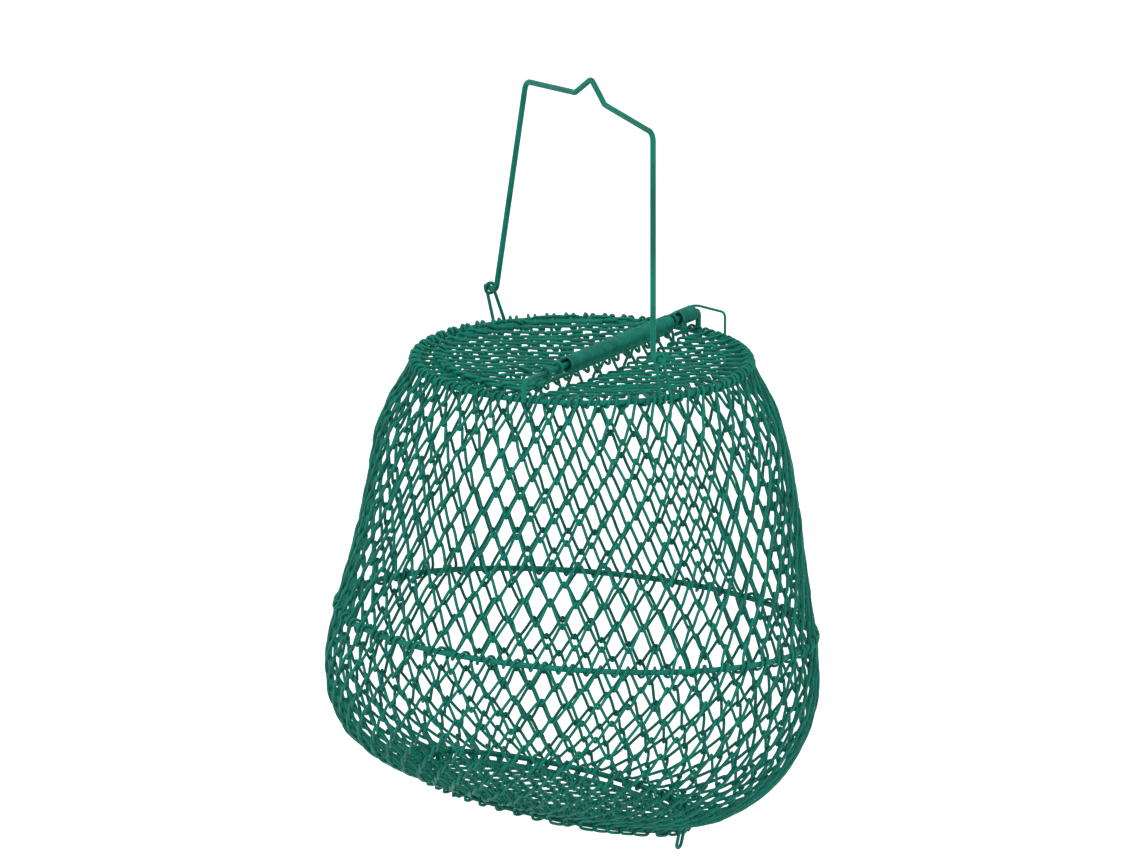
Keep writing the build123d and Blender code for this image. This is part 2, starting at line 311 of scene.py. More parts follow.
@dataclass(frozen=True)
class CoatedWire:
    """Green plastic coating on steel wire, a little chalked, with a few chips down to the steel.

    A pair of numbers is where in the noise a change begins and where it is complete.
    """

    name: str
    slot: str
    green: tuple = (0.0012, 0.185, 0.132, 1.0)
    deep_green: tuple = (0.0012, 0.128, 0.092, 1.0)
    chalk: tuple = (0.010, 0.215, 0.158, 1.0)
    steel: tuple = (0.16, 0.165, 0.16, 1.0)
    patch_scale: float = 45.0
    green_patches: tuple = (0.30, 0.62)
    chalk_patches: tuple = (0.50, 0.78)
    chalk_specks: tuple = (0.35, 0.70)
    chalk_share: float = 0.55
    peel_scale: float = 900.0
    peel_depth: float = 0.00012
    peel_share: float = 0.35  # of the relief; the patches make the rest
    relief_strength: float = 0.6
    chip_scale: float = 260.0
    chip_start: float = 0.735
    chip_edge: float = 0.03
    chip_metal: float = 0.8
    worn_specks: tuple = (0.3, 0.7)
    sheen_rough: float = 0.40
    worn_rough: float = 0.62
    gloss: float = 0.14

    def build(self) -> bpy.types.Material:
        """Makes the material.

        Returns:
            The material, with its colour, gloss and relief from nodes.
        """
        material = bpy.data.materials.new(self.name)
        graph = Graph.of(material)
        place = graph.take("ShaderNodeTexCoord", output="Object")
        patches = graph.noise(place, self.patch_scale, 3.0)
        specks = graph.noise(place, self.chip_scale, 4.0)
        peel = graph.noise(place, self.peel_scale, 2.0)

        chalking = patches.ramp(*self.chalk_patches) * specks.ramp(*self.chalk_specks)
        chips = specks.ramp(self.chip_start, self.chip_start + self.chip_edge)
        color = graph.tint(patches.ramp(*self.green_patches), self.deep_green, self.green)
        color = graph.tint(chalking * self.chalk_share, color, self.chalk)
        color = graph.tint(chips, color, self.steel)
        rough = graph.blend(specks.ramp(*self.worn_specks), self.sheen_rough, self.worn_rough)
        relief = peel * self.peel_share + patches * (1.0 - self.peel_share)
        relief = graph.blend(chips, relief, 0.0)

        inputs = {"Strength": self.relief_strength, "Distance": self.peel_depth, "Height": relief}
        inputs = {
            "Base Color": color,
            "Roughness": rough,
            "Metallic": chips * self.chip_metal,
            "Normal": graph.take("ShaderNodeBump", None, inputs),
            "Specular IOR Level": self.gloss,
        }
        surface = graph.take("ShaderNodeBsdfPrincipled", None, inputs)
        graph.node("ShaderNodeOutputMaterial", None, {"Surface": surface})
        return material


# ---- shapes grown by trees ----


class ShapeTree:
    """A Geometry Nodes tree with named inputs, and the plain meshes that it grows."""

    KINDS = {float: "NodeSocketFloat", int: "NodeSocketInt", tuple: "NodeSocketVector"}

    def __init__(self, name: str) -> None:
        """Starts a tree that takes a mesh and gives a mesh."""
        self.tree = bpy.data.node_groups.new(name, "GeometryNodeTree")
        self.graph = Graph(self.tree)
        self.identifiers: dict[str, str] = {}
        self._open("Geometry", "NodeSocketGeometry")
        self._open("Finish", "NodeSocketMaterial")
        kind = "NodeSocketGeometry"
        self.tree.interface.new_socket("Geometry", in_out="OUTPUT", socket_type=kind)
        self.source = self.tree.nodes.new("NodeGroupInput")

    def _open(self, name: str, kind: str) -> bpy.types.NodeTreeInterfaceSocket:
        """Adds an input socket to the tree."""
        socket = self.tree.interface.new_socket(name, in_out="INPUT", socket_type=kind)
        self.identifiers[name] = socket.identifier
        return socket

    def inlet(self, name: str, default: float | int | tuple | None = None) -> Signal:
        """Adds a named input, or takes one that is there.

        Args:
            name: the input's name.
            default: its value where none is given, which also sets its kind.

        Returns:
            The input's signal.
        """
        if name not in self.identifiers:
            self._open(name, self.KINDS[type(default)]).default_value = default
        return Signal(self.graph, self.source.outputs[name])

    def wire_along(self, curve: Signal, radius: Signal, sides: int, fill: bool) -> None:
        """Ends the tree with a round wire along a curve, shaded smooth and given its finish.

        Args:
            curve: the wire's middle line.
            radius: the wire's radius.
            sides: faces round the wire.
            fill: whether its ends are closed.
        """
        graph = self.graph
        inputs = {"Resolution": sides, "Radius": radius}
        section = graph.take("GeometryNodeCurvePrimitiveCircle", None, inputs)
        inputs = {"Curve": curve, "Profile Curve": section, "Fill Caps": fill}
        wire = graph.take("GeometryNodeCurveToMesh", None, inputs)
        smooth = graph.take("GeometryNodeSetShadeSmooth", None, {0: wire})
        real = graph.take("GeometryNodeRealizeInstances", None, {0: smooth})
        inputs = {0: real, "Material": self.inlet("Finish")}
        done = graph.take("GeometryNodeSetMaterial", None, inputs)
        graph.node("NodeGroupOutput", None, {0: done})

    def grow(
        self,
        name: str,
        finish: bpy.types.Material,
        values: dict,
        base: bpy.types.Mesh | None = None,
    ) -> bpy.types.Mesh:
        """Grows one plain mesh.

        Args:
            name: the mesh's name.
            finish: its material.
            values: the tree's inputs by name.
            base: the mesh that the tree starts from, if it needs one.

        Returns:
            The plain mesh.
        """
        holder = add_object(name + "_seed", base or bpy.data.meshes.new(name + "_seed"))
        modifier = holder.modifiers.new("Shape", "NODES")
        modifier.node_group = self.tree
        for key, value in {"Finish": finish, **values}.items():
            modifier[self.identifiers[key]] = value
        bpy.context.view_layer.update()
        grown = holder.evaluated_get(bpy.context.evaluated_depsgraph_get())
        mesh = bpy.data.meshes.new_from_object(grown)
        mesh.name = name
        holder.modifiers.remove(modifier)
        bpy.data.objects.remove(holder)
        return mesh


class KnitTree(ShapeTree):
    """A knitted wire: a flattened spiral whose bends hook into the next row or wrap a hoop."""

    STEPS = 18  # points of the middle line for one loop
    CROWDING = 0.55  # how much closer the points are in the bends
    SIDES = 8
    FIRST_GRIP, LAST_GRIP = (0.48, 0.20), (0.52, 0.80)  # where a border's grip begins and is full
    STRAY = 4.0  # brings a noise colour's distance from grey to about 1

    def __init__(self, name: str) -> None:
        """Starts a tree with the inputs that both kinds of row have."""
        super().__init__(name)
        self.radius = self.inlet("Wire radius", 0.0008)
        self.stroke = self.inlet("Stroke offset", 0.0012)
        self.roundness = self.inlet("Bend roundness", 0.95)
        self.turn = self.inlet("Turn softness", 0.25)
        self.wander = self.inlet("Wander", 0.0012)
        self.wander_scale = self.inlet("Wander scale", 28.0)

    def wave(self, start: Signal | float) -> tuple[Signal, Signal, Signal]:
        """The wire's run as one point follows another.

        Args:
            start: the first point's place, in loops from an upper bend.

        Returns:
            The place along the row in loops, the share of the way from upper to lower bends, and
            the side of the net that the wire is on, from -1 to 1.
        """
        graph = self.graph
        index = graph.take("GeometryNodeInputIndex")
        even = index / float(self.STEPS) + start
        crowd = (even * (4 * math.pi)).function("SINE")
        place = even + crowd * (-self.CROWDING / (4 * math.pi))
        turn = place * (2 * math.pi)
        along = turn.function("COSINE")
        across = turn.function("SINE") * -1.0
        wave = (along * self.roundness).function("ARCSINE")
        wave = wave / self.roundness.function("ARCSINE")
        side = across / (across * across + self.turn * self.turn).function("SQRT")
        return place, (1.0 - wave) * 0.5, side

    def gripped(self, down: Signal, first: Signal, last: Signal) -> Signal:
        """The wire's offset from the net's middle surface, changed by the grip at each border."""
        grip = self.stroke + (first - self.stroke) * down.ramp(*self.FIRST_GRIP)
        return grip + (last - self.stroke) * down.ramp(*self.LAST_GRIP)

    def strayed(self, place: Signal, looseness: Signal | float) -> Signal:
        """Moves the wire by the net's own irregularity, which hooked wires share.

        Args:
            place: the regular place.
            looseness: how free the net is there, from 0 to 1.

        Returns:
            The irregular place.
        """
        graph = self.graph
        color = graph.noise(graph.vector("SCALE", place, self.wander_scale), 1.0, 1.0, 1)
        push = graph.vector("SUBTRACT", color, (0.5, 0.5, 0.5))
        push = graph.vector("SCALE", push, self.wander * looseness * self.STRAY)
        return graph.vector("ADD", place, push)

    def run_wire(self, line: Signal, place: Signal, fill: bool) -> None:
        """Moves a line's points to their places, and ends the tree with a wire along it."""
        moved = self.graph.take("GeometryNodeSetPosition", None, {0: line, "Position": place})
        self.wire_along(moved, self.radius, self.SIDES, fill)


class RingRowTree(KnitTree):
    """A closed row round the basket."""

    def __init__(self) -> None:
        """Builds the tree."""
        super().__init__("Ring row")
        graph = self.graph
        loops = self.inlet("Loops", 54)
        first = self.inlet("First bend", 0.0)
        names = ("Upper bend", "Bow", "Lower bend")
        upper, bow, lower = (self.inlet(name, (0.1, 0.0, 0.0)) for name in names)
        upper_grip, lower_grip = self.inlet("Upper grip", 0.001), self.inlet("Lower grip", 0.001)
        upper_slack, lower_slack = self.inlet("Upper slack", 1.0), self.inlet("Lower slack", 1.0)
        upper_lean, lower_lean = self.inlet("Upper lean", 0.0), self.inlet("Lower lean", 0.0)
        tilt_axis, tilt = self.inlet("Tilt axis", (0.0, 1.0, 0.0)), self.inlet("Tilt", 0.0)
        shift = self.inlet("Shift", (0.0, 0.0, 0.0))

        place, down, side = self.wave(0.0)
        up = 1.0 - down
        weights = ((upper, up * up), (bow, up * down * 2.0), (lower, down * down))
        parts = [graph.vector("SCALE", bend, weight) for bend, weight in weights]
        middle = graph.vector("ADD", graph.vector("ADD", parts[0], parts[1]), parts[2])
        reach, _, height = graph.separate(middle)
        slope = graph.vector(
            "ADD",
            graph.vector("SCALE", graph.vector("SUBTRACT", bow, upper), up),
            graph.vector("SCALE", graph.vector("SUBTRACT", lower, bow), down),
        )
        run, _, fall = graph.separate(graph.vector("NORMALIZE", slope))
        grip = self.gripped(down, upper_grip, lower_grip)
        reach = reach - side * grip * fall
        height = height + side * grip * run

        angle = first + place * (2 * math.pi) / loops
        across, along = reach * angle.function("COSINE"), reach * angle.function("SINE")
        lean = graph.blend(down, upper_lean, lower_lean)
        level = graph.combine(across, along, 0.0)
        inputs = {"Vector": level, "Axis": tilt_axis, "Angle": tilt * lean}
        turned = graph.take("ShaderNodeVectorRotate", {"rotation_type": "AXIS_ANGLE"}, inputs)
        point = graph.vector("ADD", turned, graph.combine(0.0, 0.0, height))
        point = graph.vector("ADD", point, graph.vector("SCALE", shift, lean))
        point = self.strayed(point, graph.blend(down, upper_slack, lower_slack))
        inputs = {"Resolution": loops * float(self.STEPS)}
        ring = graph.take("GeometryNodeCurvePrimitiveCircle", None, inputs)
        self.run_wire(ring, point, False)


class FlatRowTree(KnitTree):
    """An open row across a flat net, laced round the frame where it meets it."""

    LACING = (0.004, 0.0005)  # from the frame, where a wire turns to its lacing and has done so
    LOOSE_SHARE = 0.7  # of the frame's radius, inside which the net is loose

    def __init__(self) -> None:
        """Builds the tree."""
        super().__init__("Flat row")
        graph = self.graph
        loops = self.inlet("Loops", 10)
        pitch = self.inlet("Loop width", 0.0154)
        phase = self.inlet("Phase", 0.0)
        near, far = self.inlet("Near bend", 0.0), self.inlet("Far bend", 0.01)
        near_grip, far_grip = self.inlet("Near grip", 0.001), self.inlet("Far grip", 0.001)
        frame, lace = self.inlet("Frame radius", 0.1), self.inlet("Frame grip", 0.001)
        sag = self.inlet("Sag", 0.003)

        place, down, side = self.wave(phase)
        across = graph.blend(down, near, far)
        along = (place - phase - loops * 0.5) * pitch
        reach = (along * along + across * across).function("SQRT")
        limit = frame + lace
        pull = (limit / reach).math("MINIMUM", limit / reach, 1.0)
        grip = self.gripped(down, near_grip, far_grip)
        grip = graph.blend(reach.ramp(frame - self.LACING[0], frame - self.LACING[1]), grip, lace)
        share = reach * pull / frame
        hang = (1.0 - share * share) * sag
        point = graph.combine(along * pull, across * pull, side * grip - hang)
        point = self.strayed(point, (share * -1.0).ramp(-1.0, -self.LOOSE_SHARE))
        ends = {"Start": (0, 0, 0), "End": (1, 0, 0)}
        line = graph.take("GeometryNodeCurvePrimitiveLine", None, ends)
        inputs = {"Curve": line, "Count": loops * float(self.STEPS) + 1.0}
        line = graph.take("GeometryNodeResampleCurve", None, inputs)
        self.run_wire(line, point, True)


class DrawnWireTree(ShapeTree):
    """A round wire bent along the edges of a plain path, each corner with its own bend."""

    SIDES = 14
    BEND_POINTS = 7

    def __init__(self) -> None:
        """Builds the tree."""
        super().__init__("Drawn wire")
        graph = self.graph
        radius = self.inlet("Wire radius", 0.002)
        path = graph.take("GeometryNodeMeshToCurve", None, {0: self.inlet("Geometry")})
        named = {"Name": "bend"}
        bend = graph.take("GeometryNodeInputNamedAttribute", {"data_type": "FLOAT"}, named)
        inputs = {"Curve": path, "Radius": bend, "Limit Radius": True, "Count": self.BEND_POINTS}
        bent = graph.take("GeometryNodeFilletCurve", {"mode": "POLY"}, inputs)
        self.wire_along(bent, radius, self.SIDES, True)


class CoilTree(ShapeTree):
    """A close-wound coil along +Z."""

    STEPS = 20  # points of the middle line for one turn
    SIDES = 8

    def __init__(self) -> None:
        """Builds the tree."""
        super().__init__("Coil")
        radius = self.inlet("Wire radius", 0.0009)
        inputs = {
            "Resolution": self.STEPS,
            "Rotations": self.inlet("Turns", 10.0),
            "Start Radius": self.inlet("Coil radius", 0.0048),
            "End Radius": self.inlet("Coil radius", 0.0048),
            "Height": self.inlet("Length", 0.02),
        }
        coil = self.graph.take("GeometryNodeCurveSpiral", None, inputs)
        self.wire_along(coil, radius, self.SIDES, True)


# ---- sizes that several sub-assemblies share ----


@dataclass(frozen=True)
class Hang:
    """How a hoop hangs askew in the soft net: degrees, and metres beside the basket's axis."""

    tilt: float
    toward: float
    distance: float
    direction: float

    @property
    def turn_axis(self) -> Vector:
        """The level axis that the hoop is tilted about."""
        toward = math.radians(self.toward)
        return Vector((-math.sin(toward), math.cos(toward), 0.0))

    @property
    def shift(self) -> Vector:
        """The hoop's middle from the basket's axis."""
        direction = math.radians(self.direction)
        return Vector((math.cos(direction), math.sin(direction), 0.0)) * self.distance

    def turn(self, share: float = 1.0) -> Matrix:
        """A share of the tilt."""
        return Matrix.Rotation(math.radians(self.tilt) * share, 4, self.turn_axis)

    def frame(self, height: float) -> Matrix:
        """The frame of the hoop, for a middle at this height."""
        return Matrix.Translation(self.shift + Vector((0, 0, height))) @ self.turn()


@dataclass(frozen=True)
class BasketSizes:
    """The basket's own sizes, in metres and degrees."""

    hoop_wire: float = 0.0040
    mesh_wire: float = 0.0022
    spring_wire: float = 0.0018
    mesh_loops: int = 54
    net_rows: int = 13
    row_hook: float = 0.0030
    hook_offset: float = 0.0012  # of a hooked wire from the net's middle surface
    top_radius: float = 0.1155
    middle_radius: float = 0.165
    bottom_radius: float = 0.099
    lower_height: float = 0.120
    axis_offset: float = 0.018  # from the bail to the basket's own axis, along +Y
    shoulder: tuple = (0.138, 0.045)  # the net's reach, and how far below the hoop above it
    flank: tuple = (0.148, 0.095)
    waist: tuple = (0.1568, 0.145)
    bulge: tuple = (0.169, 0.040)
    hip: tuple = (0.1547, 0.086)
    lower_net_leaves: tuple = (0.2, -1.0)
    lower_net_arrives: tuple = (-1.0, -0.1)
    top_hang: Hang = Hang(4.6, -76.0, 0.010, -90.0)
    bottom_hang: Hang = Hang(8.0, 78.0, 0.0065, 240.0)
    hinge_angle: float = -60.0
    hinge_offset: float = 0.024
    hinge_height: float = 0.014
    lid_radius: float = 0.099
    lid_chord: float = 0.009
    lid_height: float = 0.0026
    flat_pitch: float = 0.0085
    door_radius: float = 0.0944
    door_drop: float = 0.005
    door_hinge_angle: float = 220.0

    @property
    def loop_step(self) -> float:
        """The angle of one loop, in radians."""
        return 2 * math.pi / self.mesh_loops

    def ring_row(self, upper: Vector, bow: Vector, lower: Vector, hang: Hang) -> dict:
        """The inputs of a closed row, in a net that a tilted hoop pulls askew."""
        return {
            "Wire radius": self.mesh_wire / 2,
            "Loops": self.mesh_loops,
            "Upper bend": tuple(upper),
            "Bow": tuple(bow),
            "Lower bend": tuple(lower),
            "Tilt axis": tuple(hang.turn_axis),
            "Tilt": math.radians(hang.tilt),
            "Shift": tuple(hang.shift),
        }

    @staticmethod
    def level_of(node: str) -> float:
        """The height of a CAD node's middle."""
        low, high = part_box(node)
        return (low.z + high.z) / 2

    def hinge_frame(self) -> Matrix:
        """The frame of the mouth: +X along the hinge bar, +Y over the fixed part."""
        turn = Matrix.Rotation(math.radians(self.hinge_angle), 4, "Z")
        return self.top_hang.frame(self.level_of("top_hoop")) @ turn

    def bar_frame(self) -> Matrix:
        """The mouth's frame, moved to the hinge bar's middle line."""
        return self.hinge_frame() @ Matrix.Translation((0, self.hinge_offset, self.hinge_height))

    def bottom_frame(self) -> Matrix:
        """The frame of the tilted bottom hoop."""
        return self.bottom_hang.frame(self.level_of("middle_hoop") - self.lower_height)


# ---- the shop: finishes, trees and the way a piece is made ----


class Coat(Enum):
    """The finishes of the basket's wires."""

    FRAME = CoatedWire("coated_frame_wire", "frame_wire")
    NET = CoatedWire(
        "coated_knitted_wire",
        "knitted_wire",
        patch_scale=70.0,
        peel_scale=1500.0,
        peel_depth=0.00006,
        chip_start=0.76,
    )
    SPRING = CoatedWire(
        "coated_spring_wire",
        "spring_wire",
        patch_scale=120.0,
        peel_depth=0.00006,
        chip_start=0.70,
        sheen_rough=0.32,
    )

    @classmethod
    def of_node(cls, name: str) -> "Coat":
        """The finish of a CAD node."""
        return cls.NET if "net" in name else cls.SPRING if "spring" in name else cls.FRAME


class Workshop:
    """Makes finishes once, and turns grown meshes into pieces."""

    def __init__(self, axis_offset: float) -> None:
        """Builds the finishes and the trees, for a basket that hangs this far beside its bail."""
        self.axis_offset = axis_offset
        self.finishes = {coat: coat.value.build() for coat in Coat}
        self.ring_row = RingRowTree()
        self.flat_row = FlatRowTree()
        self.drawn_wire = DrawnWireTree()
        self.coil = CoilTree()

    def wire(
        self, points: list[Vector], bends: list[float], radius: float, coat: Coat
    ) -> bpy.types.Mesh:
        """Makes one bent wire.

        Args:
            points: its corners and ends.
            bends: the bend at each inner corner, at the wire's middle line.
            radius: the wire's radius.
            coat: its finish.

        Returns:
            The wire's mesh.
        """
        path = bpy.data.meshes.new("path")
        edges = [(i, i + 1) for i in range(len(points) - 1)]
        path.from_pydata([tuple(p) for p in points], edges, [])
        corners = path.attributes.new("bend", "FLOAT", "POINT")
        corners.data.foreach_set("value", [0.0, *bends, 0.0])
        return self.drawn_wire.grow("wire", self.finishes[coat], {"Wire radius": radius}, path)

    def piece(
        self, name: str, meshes: list[bpy.types.Mesh], coat: Coat, stands_for: tuple[str, ...]
    ) -> bpy.types.Object:
        """Joins meshes made about the basket's axis into one piece, and moves them beside the bail.

        Args:
            name: the piece's name.
            meshes: what it is made of.
            coat: its finish.
            stands_for: the CAD nodes that it replaces.

        Returns:
            The piece.
        """
        vertices, faces, count = [], [], 0
        for mesh in meshes:
            corners = np.zeros(len(mesh.vertices) * 3)
            mesh.vertices.foreach_get("co", corners)
            vertices.append(corners.reshape(-1, 3) + (0.0, self.axis_offset, 0.0))
            faces += [tuple(count + v for v in polygon.vertices) for polygon in mesh.polygons]
            count += len(mesh.vertices)
        joined = bpy.data.meshes.new(name)
        joined.from_pydata(np.vstack(vertices).tolist(), [], faces)
        joined.polygons.foreach_set("use_smooth", [True] * len(joined.polygons))
        joined.materials.append(self.finishes[coat])
        made = add_object(name, joined)
        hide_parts(*stands_for)
        log.info("%s: %d faces", name, len(faces))
        return made

    def coat_node(self, node: bpy.types.Object, coat: Coat) -> None:
        """Gives a CAD node its finish."""
        node.data.materials.clear()
        node.data.materials.append(self.finishes[coat])


# ---- body net ----


class NetProfile:
    """The outline of one net, from its upper to its lower hoop, as (reach, height) pairs."""

    SAMPLES = 80  # of each stretch between two knots

    def __init__(self, points: list[tuple], leave: tuple, arrive: tuple) -> None:
        """Fits a smooth line.

        Args:
            points: (reach, height) pairs that it passes.
            leave: its direction at the first point.
            arrive: its direction at the last point.
        """
        knots = np.array(points, float)
        spans = np.linalg.norm(np.diff(knots, axis=0), axis=1)
        size = len(knots)
        system, target = np.eye(size), np.zeros((size, 2))
        target[0], target[-1] = (np.array(v) / np.linalg.norm(v) for v in (leave, arrive))
        for i in range(1, size - 1):
            before, after = spans[i - 1], spans[i]
            system[i, i - 1 : i + 2] = after, 2 * (before + after), before
            come, go = knots[i] - knots[i - 1], knots[i + 1] - knots[i]
            target[i] = 3 * (after * come / before + before * go / after)
        speeds = np.linalg.solve(system, target)
        share = np.linspace(0, 1, self.SAMPLES, endpoint=False)[:, None]
        line = [
            (2 * share**3 - 3 * share**2 + 1) * knots[i]
            + (share**3 - 2 * share**2 + share) * spans[i] * speeds[i]
            + (3 * share**2 - 2 * share**3) * knots[i + 1]
            + (share**3 - share**2) * spans[i] * speeds[i + 1]
            for i in range(size - 1)
        ]
        self.line = np.vstack([*line, knots[-1:]])
        strides = np.linalg.norm(np.diff(self.line, axis=0), axis=1)
        self.lengths = np.concatenate([[0], np.cumsum(strides)])

    @property
    def length(self) -> float:
        """The outline's whole length."""
        return float(self.lengths[-1])

    def at(self, length: float) -> tuple[float, float, float]:
        """Finds the place at a length, carried on straight past either end.

        Args:
            length: how far along the outline.

        Returns:
            The place, as (reach, 0, height).
        """
        inside = min(max(length, 0.0), self.length)
        reach, height = (float(np.interp(inside, self.lengths, self.line[:, i])) for i in range(2))
        over = length - inside
        ends = self.line[:2] if over < 0 else self.line[-2:]
        stride = ends[1] - ends[0]
        heading = stride / np.linalg.norm(stride) if over else np.zeros(2)
        return (reach + over * heading[0], 0.0, height + over * heading[1])


@dataclass
class BodyNet:
    """The two knitted nets between the three hoops."""

    sizes: BasketSizes
    shop: Workshop
    wrap_gap: float = 0.00025  # between a wrapped bend and its hoop
    loose_from_hoop: int = 2  # rows from a hoop to where the net is free

    def __post_init__(self) -> None:
        """Works out how the end bends wrap a hoop."""
        self.wrap = (self.sizes.hoop_wire + self.sizes.mesh_wire) / 2 + self.wrap_gap

    def leans(self, row: int, from_top: bool) -> list[float]:
        """The shares of the tilted hoop's tilt at a row's upper and lower border."""
        rows = self.sizes.net_rows
        return [((rows - border if from_top else border) / rows) ** 2 for border in (row, row + 1)]

    def knit(
        self, name: str, profile: NetProfile, hang: Hang, from_top: bool
    ) -> list[bpy.types.Object]:
        """Knits one net.

        Args:
            name: the start of its rows' names.
            profile: its outline between the hoops' middle lines.
            hang: how the hoop at one of its ends hangs.
            from_top: whether that is its upper end.

        Returns:
            Its rows, from the top.
        """
        sizes, rows = self.sizes, self.sizes.net_rows
        pitch = profile.length / rows
        made = []
        for row in range(rows):
            first, last = row == 0, row == rows - 1
            start = row * pitch - (self.wrap if first else sizes.row_hook / 2)
            stop = (row + 1) * pitch + (self.wrap if last else sizes.row_hook / 2)
            places = (start, (start + stop) / 2, stop)
            upper, middle, lower = (Vector(profile.at(place)) for place in places)
            bow = middle * 2 - (upper + lower) / 2
            from_hoop = [min(border, rows - border) for border in (row, row + 1)]
            slack = [min(1.0, count / self.loose_from_hoop) for count in from_hoop]
            leans = self.leans(row, from_top)
            values = {
                **sizes.ring_row(upper, bow, lower, hang),
                "First bend": (row + 1) * sizes.loop_step / 2,
                "Upper grip": self.wrap if first else sizes.hook_offset,
                "Lower grip": self.wrap if last else sizes.hook_offset,
                "Upper slack": slack[0],
                "Lower slack": slack[1],
                "Upper lean": leans[0],
                "Lower lean": leans[1],
            }
            label = f"{row + 1:02d}"
            finish = self.shop.finishes[Coat.NET]
            mesh = self.shop.ring_row.grow(f"{name}_{label}", finish, values)
            stands_for = (f"{name}_row_{label}",)
            made.append(self.shop.piece(f"{name}_wire_{label}", [mesh], Coat.NET, stands_for))
        return made

    def build(self, joints: list[dict]) -> None:
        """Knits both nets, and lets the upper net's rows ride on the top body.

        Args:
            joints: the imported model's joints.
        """
        sizes = self.sizes
        top, middle = sizes.level_of("top_hoop"), sizes.level_of("middle_hoop")
        bottom = middle - sizes.lower_height
        sides = [(reach, top - drop) for reach, drop in (sizes.shoulder, sizes.flank, sizes.waist)]
        points = [(sizes.top_radius, top), *sides, (sizes.middle_radius, middle)]
        leave, arrive = (
            tuple(b - a for a, b in zip(start, end)) for start, end in (points[:2], points[-2:])
        )
        profile = NetProfile(points, leave, arrive)
        travel = next(j for j in joints if j["name"] == "mid_fold")["range_m"][1]
        keep = 1 - travel / (top - middle)
        for row, piece in enumerate(self.knit("upper_net", profile, sizes.top_hang, True)):
            folds_along = sizes.top_hang.turn(self.leans(row, True)[0]) @ Vector((0, 0, 1))
            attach(piece, "top")
            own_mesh(piece)

        sides = [(reach, middle - drop) for reach, drop in (sizes.bulge, sizes.hip)]
        points = [(sizes.middle_radius, middle), *sides, (sizes.bottom_radius, bottom)]
        profile = NetProfile(points, sizes.lower_net_leaves, sizes.lower_net_arrives)
        for piece in self.knit("lower_net", profile, sizes.bottom_hang, False):
            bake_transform(piece)


# ---- mouth, lid and door ----


